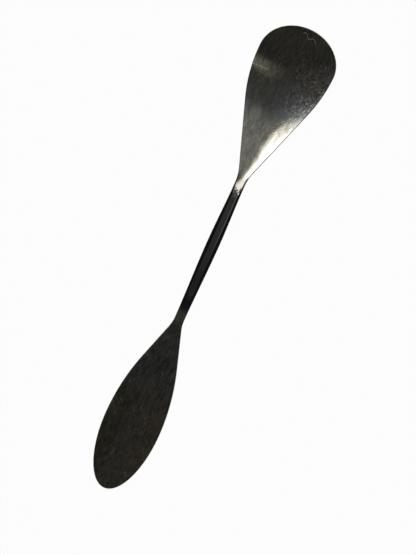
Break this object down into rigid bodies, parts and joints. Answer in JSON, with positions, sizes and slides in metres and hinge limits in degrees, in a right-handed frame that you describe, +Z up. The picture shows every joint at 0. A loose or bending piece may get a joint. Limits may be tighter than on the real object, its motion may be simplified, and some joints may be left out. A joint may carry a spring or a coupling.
{
  "type": "lab spatula",
  "caption": "One-piece stainless steel lab spatula: a flat leaf blade at one end, a slim bevelled handle, and a shallow teardrop bowl at the other end for scooping powders.",
  "frame": {"origin": "on the bench under the middle of the tool's length", "axes": "+X along the tool, from the leaf's tip to the bowl's tip; +Z up, out of the open side of the bowl"},
  "size_m": [0.18, 0.0291, 0.0037],
  "materials": {
    "steel": "brushed lengthwise, worn"
  },
  "bodies": {
    "root": {"spatula": "steel"}
  },
  "joints": []
}
